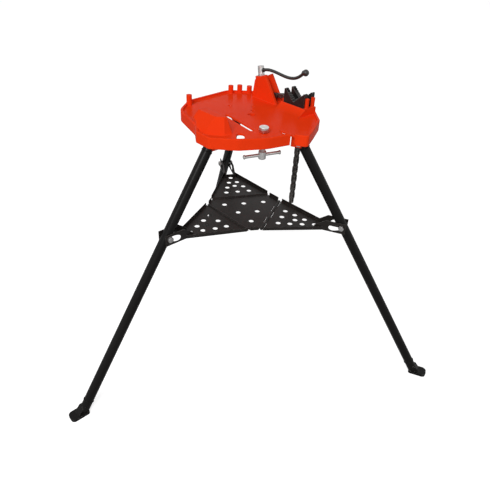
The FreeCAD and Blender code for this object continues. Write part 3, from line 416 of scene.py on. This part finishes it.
def lathe(name, outline, material, steps=56):
    """Turns an outline of (radius, height) points round Z, from axis to axis, as one closed piece."""
    bpy.ops.object.select_all(action="DESELECT")
    bpy.ops.mesh.primitive_plane_add(size=0.001)
    turned = bpy.context.object
    turned.name = name
    bpy.ops.object.mode_set(mode="EDIT")
    bpy.ops.mesh.select_mode(type="VERT")
    bpy.ops.mesh.select_all(action="SELECT")
    bpy.ops.mesh.merge(type="CENTER")
    bpy.ops.transform.translate(value=(outline[0][0], 0, outline[0][1]))
    for (r0, z0), (r1, z1) in zip(outline, outline[1:]):
        bpy.ops.mesh.extrude_vertices_move(TRANSFORM_OT_translate={"value": (r1 - r0, 0, z1 - z0)})
    bpy.ops.mesh.select_all(action="SELECT")
    bpy.ops.mesh.spin(steps=steps, angle=2 * math.pi, center=(0, 0, 0), axis=(0, 0, 1))
    bpy.ops.mesh.select_all(action="SELECT")
    bpy.ops.mesh.remove_doubles(threshold=0.000002)
    bpy.ops.mesh.normals_make_consistent(inside=False)
    bpy.ops.object.mode_set(mode="OBJECT")
    bpy.ops.object.shade_smooth_by_angle(angle=math.radians(32))
    turned.data.materials.append(material)
    return turned


screw_axis = Vector(record["handle_turn"]["axis"])
hub_middle = Vector(record["handle_turn"]["pos_m"])
HUB_LENGTH = 0.033
hub = lathe("crank_hub",
            [(0, 0), (0.0108, 0), (0.0120, 0.0012), (0.0120, 0.0070), (0.0114, 0.0078), (0.0114, 0.0088),
             (0.0120, 0.0096), (0.0120, 0.0255), (0.0114, 0.0262), (0.0114, 0.0272), (0.0120, 0.0280),
             (0.0120, 0.0310), (0.0104, 0.0330), (0.0086, 0.0330), (0.0084, 0.0318), (0.0078, 0.0318),
             (0.0070, 0.0330), (0, 0.0330)], bright_steel)
lay_along(hub, hub_middle - screw_axis * (HUB_LENGTH / 2), screw_axis)
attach(hub, "handle")
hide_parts("screw_hub")

crank_black, shader, tone = finish("crank_black", (0.014, 0.0135, 0.013), 0.24, specular=0.5)
handled = speckle(tone, 24, 4)
feed(tone, between(tone, (0.010, 0.010, 0.010, 1), (0.030, 0.028, 0.026, 1), handled), shader, "Base Color")
feed(tone, 0.18 + handled * 0.25, shader, "Roughness")
roughen(tone, shader, speckle(tone, 130, 3), 0.0005, 0.001)
dress(crank_black, "handle_arm")
ball_low, ball_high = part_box("handle_ball")
ball_radius = (ball_high[0] - ball_low[0]) / 2
ball_middle = (Vector(ball_low) + Vector(ball_high)) / 2
inward = Vector((0, -screw_axis.z, screw_axis.y))
knob_outline = [(0, -ball_radius - 0.0015), (0.0072, -ball_radius - 0.0015),
                (0.0080, -ball_radius - 0.0004), (0.0080, -ball_radius + 0.0022),
                (0.0066, -ball_radius + 0.0034)]
KNOB_STEPS = 14
for step in range(3, KNOB_STEPS + 1):
    turn = math.pi * step / KNOB_STEPS
    knob_outline.append((ball_radius * math.sin(turn), -ball_radius * math.cos(turn)))
knob = lathe("crank_knob", knob_outline[:-1] + [(0, ball_radius)], crank_black)
lay_along(knob, ball_middle, inward)
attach(knob, "handle")
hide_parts("handle_ball")
FERRULE_START = 0.0112            # just inside the hub's round side
ferrule = lathe("crank_ferrule",
                [(0, 0), (0.0072, 0), (0.0078, 0.0008), (0.0078, 0.0046), (0.0066, 0.0060), (0, 0.0060)],
                crank_black)
lay_along(ferrule, hub_middle + inward * FERRULE_START, inward)
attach(ferrule, "handle")

# ---- chain ----
# Inner and outer link plates of blacked steel on riveted pins. They are dull with oil, and brighter
# where they rub.
oiled_steel, shader, tone = finish("oiled_steel", (0.07, 0.065, 0.06), 0.36, metallic=0.9)
oil = speckle(tone, 80, 5)
rubbed = edge_wear_and_sheen(tone, 0.0007)
base = between(tone, (0.040, 0.036, 0.033, 1), (0.13, 0.12, 0.115, 1), oil)
feed(tone, between(tone, base, (0.42, 0.40, 0.38, 1), rubbed * 0.7), shader, "Base Color")
feed(tone, 0.24 + oil * 0.28, shader, "Roughness")
roughen(tone, shader, speckle(tone, 800, 2), 0.0002, 0.0005)
dress(oiled_steel, "chain_inner_plates", "chain_outer_plates", "tail_inner_plates", "tail_outer_plates")
dress(oiled_steel, "chain_pins", "tail_pins")

# ---- ceiling-brace screw ----
# A bright turned steel screw through the plate, with a cross-bored hub and a sliding tommy bar below
# and a loose cup on its top end, where it braces the stand against a ceiling.
cup_low, cup_high = (Vector(corner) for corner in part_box("brace_cup"))
screw_low, screw_high = (Vector(corner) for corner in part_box("brace_screw"))
brace_axis = (cup_low + cup_high) / 2
cup_tall = cup_high.z - cup_low.z
cup = lathe("brace_cap",
            [(0, 0.0065), (0.0091, 0.0065), (0.0091, 0), (0.0130, 0), (0.0138, 0.0010), (0.0138, 0.0042),
             (0.0165, 0.0060), (0.0165, cup_tall - 0.0052), (0.0158, cup_tall - 0.0026),
             (0.0138, cup_tall - 0.0008), (0.0112, cup_tall), (0.0100, cup_tall - 0.0003),
             (0.0092, cup_tall - 0.0012), (0.0060, cup_tall - 0.0016), (0, cup_tall - 0.0018)],
            bright_steel)
lay_along(cup, (brace_axis.x, brace_axis.y, cup_low.z), (0, 0, 1))
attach(cup, "brace_cup")
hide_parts("brace_cup")

BRACE_HUB = 0.028
THREAD_PITCH = 0.004
brace_foot = (brace_axis.x, brace_axis.y, screw_low.z)
brace_hub = lathe("brace_hub",
                  [(0, 0), (0.0112, 0), (0.0130, 0.0018), (0.0130, BRACE_HUB - 0.0018),
                   (0.0116, BRACE_HUB - 0.0002), (0.0094, BRACE_HUB), (0.0088, BRACE_HUB + 0.0012),
                   (0.0080, BRACE_HUB + 0.0016), (0, BRACE_HUB + 0.0016)], bright_steel)
lay_along(brace_hub, brace_foot, (0, 0, 1))
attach(brace_hub, "brace_screw")
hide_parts("brace_screw")


def threaded(name, root, crest, pitch, turns, material):
    """A screw thread standing on the origin: one turn's flank drawn up a helix, closed at both ends."""
    bpy.ops.object.select_all(action="DESELECT")
    bpy.ops.mesh.primitive_plane_add(size=0.001)
    screw = bpy.context.object
    screw.name = name
    bpy.ops.object.mode_set(mode="EDIT")
    bpy.ops.mesh.select_mode(type="VERT")
    bpy.ops.mesh.select_all(action="SELECT")
    bpy.ops.mesh.merge(type="CENTER")
    bpy.ops.transform.translate(value=(root, 0, 0))
    for out, up in ((crest - root, 0.32), (0, 0.18), (root - crest, 0.32), (0, 0.18)):
        bpy.ops.mesh.extrude_vertices_move(TRANSFORM_OT_translate={"value": (out, 0, up * pitch)})
    bpy.ops.object.mode_set(mode="OBJECT")
    bpy.ops.object.modifier_add(type="SCREW")
    helix = screw.modifiers[-1]
    helix.screw_offset = pitch
    helix.iterations = turns
    helix.steps = 36
    helix.render_steps = 36
    helix.use_merge_vertices = True
    helix.merge_threshold = 0.000002
    bpy.ops.object.modifier_apply(modifier=helix.name)
    bpy.ops.object.mode_set(mode="EDIT")
    bpy.ops.mesh.select_all(action="SELECT")
    bpy.ops.mesh.remove_doubles(threshold=0.000002)
    bpy.ops.mesh.fill_holes(sides=0)
    bpy.ops.mesh.select_all(action="SELECT")
    bpy.ops.mesh.normals_make_consistent(inside=False)
    bpy.ops.object.mode_set(mode="OBJECT")
    bpy.ops.object.shade_smooth_by_angle(angle=math.radians(40))
    screw.data.materials.append(material)
    return screw


turns = int((screw_high.z - screw_low.z - BRACE_HUB) / THREAD_PITCH)
THREAD_ROOT = 0.0078
THREAD_CREST = 0.0090
brace_thread = threaded("brace_thread", THREAD_ROOT, THREAD_CREST, THREAD_PITCH, turns, bright_steel)
lay_along(brace_thread, (brace_axis.x, brace_axis.y, screw_high.z - (turns + 1) * THREAD_PITCH), (0, 0, 1))
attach(brace_thread, "brace_screw")

bar_along = Vector(record["brace_bar_slide"]["axis"])
bar_middle = Vector(record["brace_turn"]["pos_m"])
BAR_HALF = 0.068
tommy = [(0, -BAR_HALF), (0.0052, -BAR_HALF), (0.0068, -BAR_HALF + 0.0010), (0.0075, -BAR_HALF + 0.0028),
         (0.0072, -BAR_HALF + 0.0048), (0.0055, -BAR_HALF + 0.0062)]
tommy += [(radius, -height) for radius, height in reversed(tommy)]
bar = lathe("brace_tommy_bar", tommy, bright_steel)
lay_along(bar, bar_middle, bar_along)
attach(bar, "brace_bar")
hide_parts("brace_bar", "brace_bar_ends")

# ---- folding tray ----
# Perforated steel sheet with turned-up edges, three wings hinged to a centre plate on long pins, painted
# satin black. The ears at each wing's tip are slotted for the leg's bolt.
tray_black, shader, tone = finish("tray_black", (0.014, 0.0125, 0.0115), 0.45, specular=0.16)
grime = speckle(tone, 14, 6)
edge = edge_wear_and_sheen(tone, 0.0012)
rub = edge * (speckle(tone, 120, 4) > 0.5)
base = between(tone, (0.009, 0.008, 0.0072, 1), (0.024, 0.020, 0.018, 1), grime)
feed(tone, between(tone, base, (0.16, 0.15, 0.14, 1), rub * 0.6), shader, "Base Color")
feed(tone, 0.34 + grime * 0.24, shader, "Roughness")
roughen(tone, shader, speckle(tone, 260, 3) * 0.4 + speckle(tone, 22, 2), 0.0004, 0.0009)
dress(tray_black, "tray_centre", "tray_wing_rear", "tray_wing_right", "tray_wing_left")
dress(blacked_steel, "tray_hinge_pin_rear", "tray_hinge_pin_right", "tray_hinge_pin_left")
